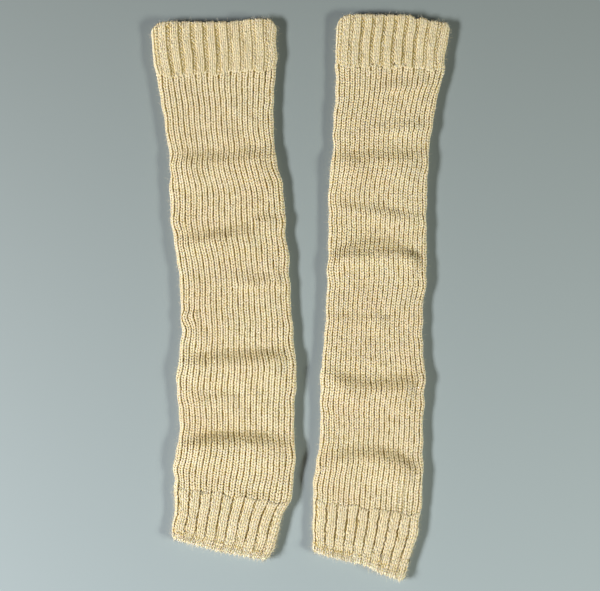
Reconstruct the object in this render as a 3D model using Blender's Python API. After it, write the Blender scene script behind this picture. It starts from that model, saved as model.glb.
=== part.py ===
"""A pair of ribbed knit leg warmers, laid flat side by side, at real size in metres with +Z up.

Each leg warmer is a flattened tube in three pieces: a leg in fine rib, with a cuff in wide rib at
each end. A piece is one closed wall of cloth, plain inside and ribbed outside. Its underside is
flat, because it rests there.
"""

from collections import namedtuple
from math import cos, pi, sin

import bmesh
import bpy
import numpy as np

MM = 0.001

# Cloth, in millimetres
SLIT = 1.0
SEAM_GAP = 0.3
RIM_ROUNDING = 0.9
RIM_LENGTH = 1.3
EDGE_FADE = 9.0
FOLD_FADE = 16.0
SIDE_LIFT = 0.3

Knit = namedtuple("Knit", "wall rib_height ribs profile under_rib_step rows")
# A profile gives the points of one rib: how far across the rib, and how high as a share of rib_height.
FINE_RIB = Knit(
    wall=2.4,
    rib_height=1.0,
    ribs=42,
    profile=((0.0, 0.0), (0.32, 1.0), (0.68, 1.0)),
    under_rib_step=3,
    rows=36,
)
WIDE_RIB = Knit(
    wall=2.6,
    rib_height=1.4,
    ribs=21,
    profile=((0.0, 0.0), (0.2, 0.9), (0.5, 1.0), (0.8, 0.9)),
    under_rib_step=1,
    rows=6,
)

# Corners of the ring, counted round the flattened tube
UNDER_LEFT, UNDER_RIGHT, TOP_RIGHT, TOP_LEFT, ALL_ROUND = 0.0, 1.0, 2.0, 3.0, 4.0
INNER_UNDER_SPANS = 8
INNER_TOP_SPANS = 10
INNER_FOLD_SPANS = 2

# Ribs run all round the tube. Those under it lie flat and plain, and from there the ribs grow to
# full height as the cloth turns up round the fold.
UNDER_SHARE = 19 / 42
FULL_RIB_UP = -0.25

# Each section joins the left and right side of the laid tube, in millimetres. Crown is how far the
# middle stands up above the sides. The named sections are the ends and the lines of the cuffs.
Section = namedtuple("Section", "name left_x left_y right_x right_y crown")
LEFT_SECTIONS = (
    Section("lower_end", -109, -200, -25, -216, 0.3),
    Section("", -108, -190, -20, -206, 0.5),
    Section("", -107, -177, -16, -190, 0.5),
    Section("lower_cuff_line", -107, -161, -9, -175, 0.5),
    Section("", -108, -146, -5, -157, 0.7),
    Section("", -106, -131, -4, -139, 0.9),
    Section("", -103, -116, -4, -121, 0.8),
    Section("", -103, -101, -5, -102, 0.6),
    Section("", -105, -81, -3, -79, 0.7),
    Section("", -105, -62, -3, -58, 0.8),
    Section("", -102, -40, -5, -35, 0.6),
    Section("", -102, 0, -8, 6, 0.6),
    Section("", -104, 26, -9, 33, 0.6),
    Section("", -108, 51, -12, 58, 0.6),
    Section("", -111, 78, -13, 85, 0.6),
    Section("", -111, 100, -17, 107, 0.8),
    Section("", -111, 117, -21, 125, 0.7),
    Section("", -114, 138, -22, 145, 0.5),
    Section("", -118, 164, -22, 171, 0.5),
    Section("upper_cuff_line", -122, 187, -20, 194, 0.6),
    Section("", -126, 209, -19, 216, 0.7),
    Section("upper_end", -127, 226, -20, 231, 0.5),
)
RIGHT_SECTIONS = (
    Section("lower_end", 11, -211, 91, -230, 0.3),
    Section("", 11, -200, 95, -216, 0.5),
    Section("", 11, -186, 100, -201, 0.5),
    Section("lower_cuff_line", 11, -172, 103, -185, 0.5),
    Section("", 11, -157, 104, -167, 0.7),
    Section("", 13, -143, 105, -150, 0.8),
    Section("", 16, -126, 105, -130, 0.7),
    Section("", 17, -109, 105, -111, 0.6),
    Section("", 17, -87, 106, -88, 0.8),
    Section("", 17, -68, 107, -70, 0.8),
    Section("", 20, -40, 105, -42, 0.6),
    Section("", 22, -8, 105, -10, 0.6),
    Section("", 23, 20, 108, 18, 0.8),
    Section("", 24, 49, 108, 46, 0.6),
    Section("", 24, 81, 108, 77, 0.6),
    Section("", 25, 105, 109, 101, 0.8),
    Section("", 28, 128, 110, 124, 0.7),
    Section("", 28, 150, 113, 146, 0.5),
    Section("", 30, 173, 117, 169, 0.5),
    Section("upper_cuff_line", 30, 197, 123, 194, 0.6),
    Section("", 30, 213, 125, 210, 0.7),
    Section("upper_end", 31, 232, 128, 230, 0.5),
)

# A fold is a soft ridge across the upper panel, bowed in its middle. It falls off over upper_span
# towards the upper end and over lower_span towards the lower end, and spans the given shares of the
# width.
Fold = namedtuple("Fold", "left_y right_y bow from_share to_share rise upper_span lower_span")
LEFT_FOLDS = (
    Fold(114, 120, -2, -0.20, 1.10, 3.2, 13, 27),
    Fold(62, 67, 0, 0.55, 1.20, 2.0, 11, 15),
    Fold(45, 60, 0, -0.20, 0.85, 2.6, 12, 22),
    Fold(6, 16, 0, 0.40, 1.05, 1.5, 11, 11),
    Fold(-20, -6, 0, -0.20, 0.30, 1.6, 11, 14),
    Fold(-58, -53, 2, -0.20, 1.20, 3.4, 13, 25),
    Fold(-88, -83, 0, -0.15, 0.60, 1.5, 11, 14),
    Fold(-128, -128, 6, -0.20, 1.20, 3.8, 13, 28),
    Fold(-157, -175, 0, 0.40, 1.10, 0.9, 10, 12),
)
RIGHT_FOLDS = (
    Fold(170, 182, 0, 0.30, 1.15, 1.2, 11, 11),
    Fold(139, 145, 0, 0.30, 1.15, 1.3, 11, 11),
    Fold(115, 119, -1, -0.20, 1.20, 3.2, 13, 27),
    Fold(77, 66, 0, -0.10, 1.20, 1.4, 11, 14),
    Fold(27, 27, 15, -0.20, 1.20, 3.5, 13, 28),
    Fold(-19, -19, 0, -0.15, 0.70, 1.0, 11, 14),
    Fold(-65, -69, -11, -0.20, 1.20, 3.7, 13, 26),
    Fold(-147, -150, 12, -0.20, 1.20, 3.7, 13, 26),
    Fold(-169, -188, 0, 0.55, 1.10, 0.9, 10, 11),
)

# How far the cloth stands out past its end section, at shares of the width
End = namedtuple("End", "share out")
LEFT_UPPER_END = (
    End(0.0, 0.0),
    End(0.05, 5.0),
    End(0.15, 7.0),
    End(0.48, 5.0),
    End(0.63, 5.0),
    End(0.83, 7.5),
    End(0.95, 6.5),
    End(1.0, 0.0),
)
LEFT_LOWER_END = (
    End(0.0, 3.0),
    End(0.06, 4.5),
    End(0.14, 5.5),
    End(0.37, 6.5),
    End(0.56, 8.5),
    End(0.75, 8.5),
    End(0.94, 8.0),
    End(1.0, 4.0),
)
RIGHT_UPPER_END = (
    End(0.0, 0.0),
    End(0.04, 6.0),
    End(0.12, 9.0),
    End(0.64, 9.5),
    End(0.72, 7.5),
    End(0.82, 5.0),
    End(0.96, 3.5),
    End(1.0, 0.0),
)
RIGHT_LOWER_END = (
    End(0.0, 3.0),
    End(0.06, 4.5),
    End(0.17, 5.5),
    End(0.33, 5.0),
    End(0.58, 5.5),
    End(0.84, 10.5),
    End(0.95, 11.0),
    End(1.0, 6.0),
)

Warmer = namedtuple("Warmer", "side sections folds lower_end upper_end")
WARMERS = (
    Warmer("left", LEFT_SECTIONS, LEFT_FOLDS, LEFT_LOWER_END, LEFT_UPPER_END),
    Warmer("right", RIGHT_SECTIONS, RIGHT_FOLDS, RIGHT_LOWER_END, RIGHT_UPPER_END),
)

Piece = namedtuple("Piece", "name knit start end rim")
PIECES = (
    Piece("bottom_cuff", WIDE_RIB, "lower_end", "lower_cuff_line", "start"),
    Piece("leg", FINE_RIB, "lower_cuff_line", "upper_cuff_line", ""),
    Piece("top_cuff", WIDE_RIB, "upper_cuff_line", "upper_end", "end"),
)

CREAM = (0.68, 0.56, 0.34, 1.0)
CUFF_CREAM = (0.72, 0.60, 0.37, 1.0)


def clear_scene():
    for old in list(bpy.data.objects):
        bpy.data.objects.remove(old, do_unlink=True)


def knit_material(name, color):
    material = bpy.data.materials.new(name)
    material.use_nodes = True
    shader = material.node_tree.nodes["Principled BSDF"]
    shader.inputs["Base Color"].default_value = color
    shader.inputs["Roughness"].default_value = 0.95
    shader.inputs["Metallic"].default_value = 0.0
    return material


def smooth_step(value):
    value = min(max(value, 0.0), 1.0)
    return value * value * (3 - 2 * value)


def stations(sections):
    """Distance of each section from the lower end, measured along the middle."""
    middles = [
        ((row.left_x + row.right_x) / 2, (row.left_y + row.right_y) / 2)
        for row in sections
    ]
    steps = np.linalg.norm(np.diff(middles, axis=0), axis=1)
    return np.concatenate([[0.0], np.cumsum(steps)])


def station_of(sections, name):
    names = [row.name for row in sections]
    return stations(sections)[names.index(name)]


Row = namedtuple("Row", "along left right crown width")


def row_at(sections, along):
    """The row of knitting at a distance along the tube, on a smooth curve through the sections."""
    at = stations(sections)
    values = np.array([section[1:] for section in sections], float)
    slopes = np.gradient(values, at, axis=0)
    number = int(np.clip(np.searchsorted(at, along, side="right") - 1, 0, len(at) - 2))
    span = at[number + 1] - at[number]
    t = (along - at[number]) / span
    blend = t * t * (3 - 2 * t)
    start_pull = (t**3 - 2 * t**2 + t) * span * slopes[number]
    end_pull = (t**3 - t**2) * span * slopes[number + 1]
    value = values[number] * (1 - blend) + values[number + 1] * blend + start_pull + end_pull
    left, right = value[0:2], value[2:4]
    return Row(along, left, right, value[4], np.linalg.norm(right - left))


def ring_point(width, height, corner):
    """Sideways place, height and outward direction at a place counted round a flattened ring."""
    radius = height / 2
    flat = width - height
    panel, t = divmod(corner % ALL_ROUND, 1.0)
    if panel == UNDER_LEFT:
        return flat * (t - 0.5), 0.0, 0.0, -1.0
    if panel == UNDER_RIGHT:
        side, up = sin(pi * t), -cos(pi * t)
        return flat / 2 + radius * side, radius + radius * up, side, up
    if panel == TOP_RIGHT:
        return flat * (0.5 - t), height, 0.0, 1.0
    side, up = -sin(pi * t), cos(pi * t)
    return -flat / 2 + radius * side, radius + radius * up, side, up


def corner_of(width, height, share):
    """The corner count at a share of the girth, which starts where the underside meets the left fold."""
    flat = width - height
    fold = pi * height / 2
    run = (share % 1.0) * 2 * (flat + fold)
    for corner, length in enumerate((flat, fold, flat, fold)):
        if run < length:
            return corner + run / length
        run -= length
    return ALL_ROUND


def fold_rise(folds, share, y):
    """Height of the soft ridges at a share of the width and a place along the cloth."""
    rise = 0.0
    for fold in folds:
        bow = 4 * fold.bow * share * (1 - share)
        crest = fold.left_y + (fold.right_y - fold.left_y) * share + bow
        span = fold.upper_span if y > crest else fold.lower_span
        off = abs(y - crest) / span
        middle = (fold.from_share + fold.to_share) / 2
        reach = (fold.to_share - fold.from_share) / 2
        aside = abs(share - middle) / reach
        if off < 1 and aside < 1:
            rise += fold.rise * cos(pi * off / 2) ** 2 * smooth_step(2 * (1 - aside))
    return rise


def end_push(warmer, share, along):
    """How far the cloth is pushed along the tube, fading out towards the line of the cuff."""
    low = station_of(warmer.sections, "lower_cuff_line")
    high = station_of(warmer.sections, "upper_cuff_line")
    length = stations(warmer.sections)[-1]
    if along < low:
        ends, fade, sign = warmer.lower_end, 1 - along / low, -1
    elif along > high:
        ends, fade, sign = warmer.upper_end, (along - high) / (length - high), 1
    else:
        return 0.0
    out = np.interp(share, [end.share for end in ends], [end.out for end in ends])
    return sign * out * smooth_step(fade)


def groove_size(knit, row):
    """Width and height of the ring that runs through the grooves between the ribs."""
    return row.width - 2 * knit.rib_height, 2 * knit.wall + SLIT


def wall_point(warmer, knit, row, corner, depth, relief):
    """A point of the wall: depth goes in from the grooves, and relief is the rib's own height."""
    width, height = groove_size(knit, row)
    side, up, out_side, out_up = ring_point(width - 2 * depth, height - 2 * depth, corner)
    grown = smooth_step((out_up + 1) / (FULL_RIB_UP + 1))
    side += out_side * relief * grown
    up += out_up * relief * grown + depth
    across = (row.right - row.left) / row.width
    ahead = np.array([-across[1], across[0]])
    share = min(max(0.5 + side / row.width, 0.0), 1.0)
    push = end_push(warmer, share, row.along)
    x, y = (row.left + row.right) / 2 + across * side + ahead * push
    if out_up > 0:
        inboard = (width - height) / 2 - abs(side)
        there = SIDE_LIFT * smooth_step(out_up) + (1 - SIDE_LIFT) * smooth_step(inboard / FOLD_FADE)
        up += row.crown * smooth_step(inboard / EDGE_FADE)
        up += fold_rise(warmer.folds, share, y) * there
    return x * MM, y * MM, max(up, 0.0) * MM


def outer_columns(knit, row):
    """Corner count and rib relief of each outer point, ribbed over the top and the two folds."""
    width, height = groove_size(knit, row)
    under_ribs = int(knit.ribs * UNDER_SHARE)
    columns = []
    for rib in range(0, under_ribs, knit.under_rib_step):
        columns.append((corner_of(width, height, rib / knit.ribs), 0.0))
    for rib in range(under_ribs, knit.ribs):
        for across, high in knit.profile:
            share = (rib + across) / knit.ribs
            columns.append((corner_of(width, height, share), high * knit.rib_height))
    return columns


def inner_columns():
    """Corner counts of the plain inner face."""
    panels = (
        (UNDER_LEFT, INNER_UNDER_SPANS),
        (UNDER_RIGHT, INNER_FOLD_SPANS),
        (TOP_RIGHT, INNER_TOP_SPANS),
        (TOP_LEFT, INNER_FOLD_SPANS),
    )
    return [start + step / spans for start, spans in panels for step in range(spans)]


def row_places(warmer, piece):
    """Distances of the rows along the piece, with one more row close to an open rim."""
    start = station_of(warmer.sections, piece.start)
    end = station_of(warmer.sections, piece.end)
    if piece.rim != "start":
        start += SEAM_GAP / 2
    if piece.rim != "end":
        end -= SEAM_GAP / 2
    places = list(np.linspace(start, end, piece.knit.rows))
    if piece.rim == "start":
        places.insert(1, start + RIM_LENGTH)
    if piece.rim == "end":
        places.insert(-1, end - RIM_LENGTH)
    return places


def tube_skin(mesh, rows):
    """Adds a tube through rows of points, a grid rolled up and closed. Gives the edges of its two ends."""
    around = len(rows[0])
    made = bmesh.ops.create_grid(
        mesh, x_segments=around, y_segments=len(rows) - 1, size=1.0
    )
    grid = sorted(made["verts"], key=lambda vert: (round(vert.co.y, 4), vert.co.x))
    lines = [grid[i : i + around + 1] for i in range(0, len(grid), around + 1)]
    for line, points in zip(lines, rows):
        for number, vert in enumerate(line):
            vert.co = points[number % around]
    bmesh.ops.weld_verts(mesh, targetmap={line[-1]: line[0] for line in lines})
    rims = []
    for line in (lines[0], lines[-1]):
        ring = line[:-1]
        pairs = zip(ring, ring[1:] + ring[:1])
        rims.append([mesh.edges.get(pair) for pair in pairs])
    return rims


def make_piece(warmer, piece, material):
    knit = piece.knit
    places = row_places(warmer, piece)
    rims = {"start": places[0], "end": places[-1]}
    outer, inner = [], []
    for along in places:
        row = row_at(warmer.sections, along)
        sink = RIM_ROUNDING if along == rims.get(piece.rim) else 0.0
        columns = outer_columns(knit, row)
        outer.append([wall_point(warmer, knit, row, corner, sink, high) for corner, high in columns])
        inner.append([wall_point(warmer, knit, row, corner, knit.wall, 0) for corner in inner_columns()])
    mesh = bmesh.new()
    outer_rims = tube_skin(mesh, outer)
    inner_rims = tube_skin(mesh, inner)
    for outside, inside in zip(outer_rims, inner_rims):
        edges = outside + inside
        bmesh.ops.triangle_fill(mesh, use_beauty=True, edges=edges, normal=(0, 1, 0))
    bmesh.ops.recalc_face_normals(mesh, faces=mesh.faces)
    data = bpy.data.meshes.new(f"{warmer.side}_{piece.name}")
    mesh.to_mesh(data)
    mesh.free()
    data.shade_smooth()
    data.set_sharp_from_angle(angle=pi / 3)
    data.materials.append(material)
    made = bpy.data.objects.new(f"{warmer.side}_{piece.name}", data)
    bpy.context.scene.collection.objects.link(made)
    return made


def main():
    clear_scene()
    leg_cloth = knit_material("fine_rib_knit", CREAM)
    cuff_cloth = knit_material("wide_rib_knit", CUFF_CREAM)
    for warmer in WARMERS:
        laid = bpy.data.objects.new(f"{warmer.side}_leg_warmer", None)
        bpy.context.scene.collection.objects.link(laid)
        for piece in PIECES:
            cloth = leg_cloth if piece.knit is FINE_RIB else cuff_cloth
            made = make_piece(warmer, piece, cloth)
            made.parent = laid


main()
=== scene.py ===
"""Looks of a pair of ribbed knit leg warmers that lie flat side by side on a plain floor.

Every piece of cloth is a thin shell on the form of its solid, with its stitches knitted over it as
raised yarn. The form is worked out in millimetres from the same sections, folds and ends as the
solids, and turned into metres where a mesh is made.
"""

from collections import namedtuple
from math import cos, pi, radians, sin

import bmesh
import bpy
import numpy as np
from mathutils import Matrix, Vector


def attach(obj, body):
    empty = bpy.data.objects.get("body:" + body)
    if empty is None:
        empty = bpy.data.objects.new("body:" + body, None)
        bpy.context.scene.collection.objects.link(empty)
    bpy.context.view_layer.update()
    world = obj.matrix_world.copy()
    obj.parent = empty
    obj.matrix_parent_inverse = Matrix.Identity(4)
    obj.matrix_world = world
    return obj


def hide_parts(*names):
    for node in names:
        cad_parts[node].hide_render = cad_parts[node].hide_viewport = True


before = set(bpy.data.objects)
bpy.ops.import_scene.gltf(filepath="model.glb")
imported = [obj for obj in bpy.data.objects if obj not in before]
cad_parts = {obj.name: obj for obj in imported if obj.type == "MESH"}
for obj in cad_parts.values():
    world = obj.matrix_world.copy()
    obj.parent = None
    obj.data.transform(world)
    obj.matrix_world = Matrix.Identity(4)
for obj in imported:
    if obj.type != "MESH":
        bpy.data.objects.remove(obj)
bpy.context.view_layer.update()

MM = 0.001

# The gap between the two panels of a laid tube, and how much higher its open upper end stands
SLIT = 1.0
UPPER_LIP = 0.5
# How far in from the side folds the crown and the creases reach their full height
EDGE_FADE = 9.0
CREASE_FADE = 16.0
# Share of a crease's rise that lifts the side folds too, and how far the upper panel may dip
SIDE_LIFT = 0.3
LOWEST_DIP = 0.1
# How far up the cloth faces where its ribs are full grown, from -1 for down to 1 for up
FULL_RIB_UP = -0.25
# Distances over which the ribs come to wander fully, round from the underside and along from an
# open end, and how far in from the side folds the folds' own small waves reach
SIDE_FADE = 5.0
END_FADE = 12.0
SIDE_BUMP_REACH = 11.0
# How far from a cuff line its rows are out of true, and its ribs lower
UNEVEN_REACH = 16.0
LINE_DIP_REACH = 5.0
# How far the cast-on edge swings in and out from rib to groove, and how far up that reaches
SCALLOP = 0.7
SCALLOP_REACH = 5.0

# Each section joins the left and right side of the laid tube, in millimetres. Crown is how far the
# middle stands up above the sides. The named sections are the ends and the lines of the cuffs.
Section = namedtuple("Section", "name left_x left_y right_x right_y crown")
LEFT_SECTIONS = (
    Section("lower_end", -109, -200, -25, -216, 0.3),
    Section("", -108, -190, -20, -206, 0.5),
    Section("", -107, -177, -16, -190, 0.5),
    Section("lower_cuff_line", -107, -161, -9, -175, 0.5),
    Section("", -108, -146, -5, -157, 0.7),
    Section("", -106, -131, -4, -139, 0.9),
    Section("", -103, -116, -4, -121, 0.8),
    Section("", -103, -101, -5, -102, 0.6),
    Section("", -105, -81, -3, -79, 0.7),
    Section("", -105, -62, -3, -58, 0.8),
    Section("", -102, -40, -5, -35, 0.6),
    Section("", -102, 0, -8, 6, 0.6),
    Section("", -104, 26, -9, 33, 0.6),
    Section("", -108, 51, -12, 58, 0.6),
    Section("", -111, 78, -13, 85, 0.6),
    Section("", -111, 100, -17, 107, 0.8),
    Section("", -111, 117, -21, 125, 0.7),
    Section("", -114, 138, -22, 145, 0.5),
    Section("", -118, 164, -22, 171, 0.5),
    Section("upper_cuff_line", -122, 187, -20, 194, 0.6),
    Section("", -126, 209, -19, 216, 0.7),
    Section("upper_end", -127, 226, -20, 231, 0.5),
)
RIGHT_SECTIONS = (
    Section("lower_end", 11, -211, 91, -230, 0.3),
    Section("", 11, -200, 95, -216, 0.5),
    Section("", 11, -186, 100, -201, 0.5),
    Section("lower_cuff_line", 11, -172, 103, -185, 0.5),
    Section("", 11, -157, 104, -167, 0.7),
    Section("", 13, -143, 105, -150, 0.8),
    Section("", 16, -126, 105, -130, 0.7),
    Section("", 17, -109, 105, -111, 0.6),
    Section("", 17, -87, 106, -88, 0.8),
    Section("", 17, -68, 107, -70, 0.8),
    Section("", 20, -40, 105, -42, 0.6),
    Section("", 22, -8, 105, -10, 0.6),
    Section("", 23, 20, 108, 18, 0.8),
    Section("", 24, 49, 108, 46, 0.6),
    Section("", 24, 81, 108, 77, 0.6),
    Section("", 25, 105, 109, 101, 0.8),
    Section("", 28, 128, 110, 124, 0.7),
    Section("", 28, 150, 113, 146, 0.5),
    Section("", 30, 173, 117, 169, 0.5),
    Section("upper_cuff_line", 30, 197, 123, 194, 0.6),
    Section("", 30, 213, 125, 210, 0.7),
    Section("upper_end", 31, 232, 128, 230, 0.5),
)

# A crease runs from left to right, bowed in its middle. The cloth rises over a steep side towards
# the upper end, falls over a gentle one, and the ribs step sideways by the kink where it is steep.
Crease = namedtuple("Crease", "left_x left_y right_x right_y bow rise steep gentle kink")
LEFT_CREASES = (
    Crease(-125, 113, -10, 121, -3, 3.5, 12, 27, -1.2),
    Crease(-44, 64, 5, 67, 0, 2.8, 8, 14, 0.9),
    Crease(-125, 40, -31, 55, 0, 3.6, 11, 20, -0.7),
    Crease(-58, 10, -12, 15, 0, 2.1, 10, 6, 0.9),
    Crease(-125, -21, -84, -14, 0, 2.6, 7, 13, -2.0),
    Crease(-125, -61, 15, -53, 2, 4.6, 12, 25, 0.9),
    Crease(-98, -88, -50, -85, 0, 1.2, 9, 12, 0.5),
    Crease(-125, -134, 15, -134, 11, 5.9, 11, 28, 1.3),
    Crease(-60, -166, -5, -176, 0, 1.0, 7, 8, 0.3),
)
RIGHT_CREASES = (
    Crease(64, 175, 124, 183, 0, 1.8, 10, 6, 0.6),
    Crease(62, 141, 120, 145, 0, 2.0, 10, 6, 0.5),
    Crease(5, 113, 125, 119, -1, 3.8, 12, 27, 0.9),
    Crease(20, 78, 120, 64, 0, 2.1, 7, 13, 0.7),
    Crease(0, 5, 118, 12, 32, 3.6, 12, 28, -0.8),
    Crease(22, 30, 104, 34, 3, 2.6, 7, 10, 0.0),
    Crease(12, -19, 76, -19, 0, 1.3, 7, 12, 0.3),
    Crease(0, -55, 130, -56, -23, 4.8, 12, 26, 0.9),
    Crease(0, -155, 120, -165, 24, 4.4, 12, 26, 1.1),
    Crease(70, -181, 112, -190, 0, 1.0, 7, 8, 0.3),
)

# Low creases of the panel that lies on the floor, pushed up between it and the upper one
LEFT_HIDDEN_CREASES = (
    Crease(-130, 148, -30, 156, 3, 0.6, 7, 16, 0.5),
    Crease(-100, 88, 5, 79, -2, 0.7, 6, 14, -0.6),
    Crease(-125, 17, -20, 24, 4, 0.6, 6, 15, 0.5),
    Crease(-90, -33, 10, -41, 0, 0.5, 7, 12, -0.4),
    Crease(-125, -98, -10, -89, 5, 0.7, 6, 16, 0.6),
)
RIGHT_HIDDEN_CREASES = (
    Crease(10, 163, 100, 157, -3, 0.6, 6, 15, -0.5),
    Crease(30, 94, 130, 102, 2, 0.6, 7, 14, 0.5),
    Crease(5, 52, 112, 46, 4, 0.7, 6, 16, -0.6),
    Crease(30, -8, 125, -1, 0, 0.5, 7, 12, 0.4),
    Crease(0, -112, 118, -104, -4, 0.7, 6, 15, 0.6),
)

# How far an open end stands out past its section, at shares of the way from left to right
End = namedtuple("End", "share out")
LEFT_UPPER_END = (
    End(0.0, 0.0),
    End(0.05, 6.2),
    End(0.15, 7.8),
    End(0.48, 5.3),
    End(0.63, 5.1),
    End(0.83, 6.2),
    End(0.95, 6.0),
    End(1.0, 0.0),
)
LEFT_LOWER_END = (
    End(0.0, 3.0),
    End(0.06, 4.0),
    End(0.14, 4.8),
    End(0.37, 6.2),
    End(0.56, 7.2),
    End(0.75, 7.0),
    End(0.94, 7.0),
    End(1.0, 5.5),
)
RIGHT_UPPER_END = (
    End(0.0, 0.0),
    End(0.04, 6.2),
    End(0.12, 8.7),
    End(0.64, 9.1),
    End(0.69, 6.0),
    End(0.74, 7.0),
    End(0.82, 4.6),
    End(0.96, 3.4),
    End(1.0, 0.0),
)
RIGHT_LOWER_END = (
    End(0.0, 3.0),
    End(0.06, 4.0),
    End(0.17, 4.9),
    End(0.33, 5.0),
    End(0.58, 5.0),
    End(0.74, 8.6),
    End(0.84, 9.4),
    End(0.95, 10.4),
    End(1.0, 9.2),
)

# A rib pattern: wall and rib height as the solids have them, ribs all round, and how much lower a
# rib is at its sides and by the cuff line, where it also takes painted shade. A groove reaches so
# many ribs to each side, is raised by its lift where it is filled, and the fill takes painted groove
# shade off its yarn by a share of that lift. The outline is the shell's own across one rib: places
# across, and heights above the grooves of the solid.
Knit = namedtuple(
    "Knit", "wall rib_height ribs rounding line_dip groove_reach groove_lift paler_share outline"
)
FINE_RIB = Knit(
    wall=2.4,
    rib_height=1.0,
    ribs=42,
    rounding=0.0,
    line_dip=0.0,
    groove_reach=0.18,
    groove_lift=0.55,
    paler_share=0.5,
    outline=((0.0, -0.65), (0.09, -0.35), (0.25, 0.45), (0.5, 0.15), (0.75, 0.45), (0.91, -0.35)),
)
TOP_RIB = Knit(
    wall=2.6,
    rib_height=1.4,
    ribs=21,
    rounding=0.7,
    line_dip=0.3,
    groove_reach=0.26,
    groove_lift=0.95,
    paler_share=1.0,
    outline=(
        (0.0, -0.3),
        (0.08, -0.25),
        (0.16, 0.1),
        (0.24, 0.6),
        (0.34, 0.6),
        (0.42, 0.85),
        (0.5, 0.55),
        (0.58, 0.85),
        (0.66, 0.6),
        (0.76, 0.6),
        (0.84, 0.1),
        (0.92, -0.25),
    ),
)
BOTTOM_RIB = Knit(
    wall=2.6,
    rib_height=1.4,
    ribs=21,
    rounding=1.1,
    line_dip=0.1,
    groove_reach=0.17,
    groove_lift=1.15,
    paler_share=1.0,
    outline=(
        (0.0, -0.35),
        (0.04, -0.3),
        (0.1, -0.05),
        (0.18, 0.45),
        (0.285, 0.45),
        (0.39, 0.8),
        (0.5, 0.5),
        (0.61, 0.8),
        (0.715, 0.45),
        (0.82, 0.45),
        (0.9, -0.05),
        (0.96, -0.3),
    ),
)

# Share of a crease's length over which it dies out at each end, the depth of the valley at the
# foot of its steep side as a share of its rise, and the rise that gets the full painted shade
CREASE_ENDS = 0.16
VALLEY_SHARE = 0.2
DEEPEST_CREASE = 5.0


def smooth_step(value):
    value = np.clip(value, 0.0, 1.0)
    return value * value * (3 - 2 * value)


def hump(value):
    """Swells from 0 to 1 and sinks back to 0 while the value goes from 0 to 1."""
    return np.sin(pi * np.clip(value, 0, 1)) ** 2


def crease_rise(creases, x, y):
    """How far the creases lift the cloth at these places, how far they shift its ribs, and how much
    painted shade falls on their steep sides, 1 where that painted shade is full."""
    rise = np.zeros_like(x)
    shift = np.zeros_like(x)
    pinch = np.zeros_like(x)
    for crease in creases:
        t = (x - crease.left_x) / (crease.right_x - crease.left_x)
        crest = crease.left_y + (crease.right_y - crease.left_y) * t + crease.bow * 4 * t * (1 - t)
        off = y - crest
        above = 1 - smooth_step(off / crease.steep)
        below = np.cos(pi / 2 * np.clip(-off / crease.gentle, 0, 1)) ** 2
        there = smooth_step(t / CREASE_ENDS) * smooth_step((1 - t) / CREASE_ENDS)
        there = there * (1 + 0.16 * np.sin(9.0 * t + crease.left_y) + 0.07 * np.sin(23.0 * t))
        valley = hump((off / crease.steep - 0.5) / 1.6)
        rise += crease.rise * there * (np.where(off > 0, above, below) - VALLEY_SHARE * valley)
        shift += crease.kink * there * np.where(off > 0, above, below**2)
        # Painted shade on each crease's steep side, which faces the upper end, away from the light
        steep_side = hump((off / crease.steep + 0.35) / 1.7)
        steepness = min(crease.gentle / crease.steep, 1.0) ** 2
        pinch += crease.rise / DEEPEST_CREASE * steepness * there * steep_side
    return rise, shift, pinch


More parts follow.
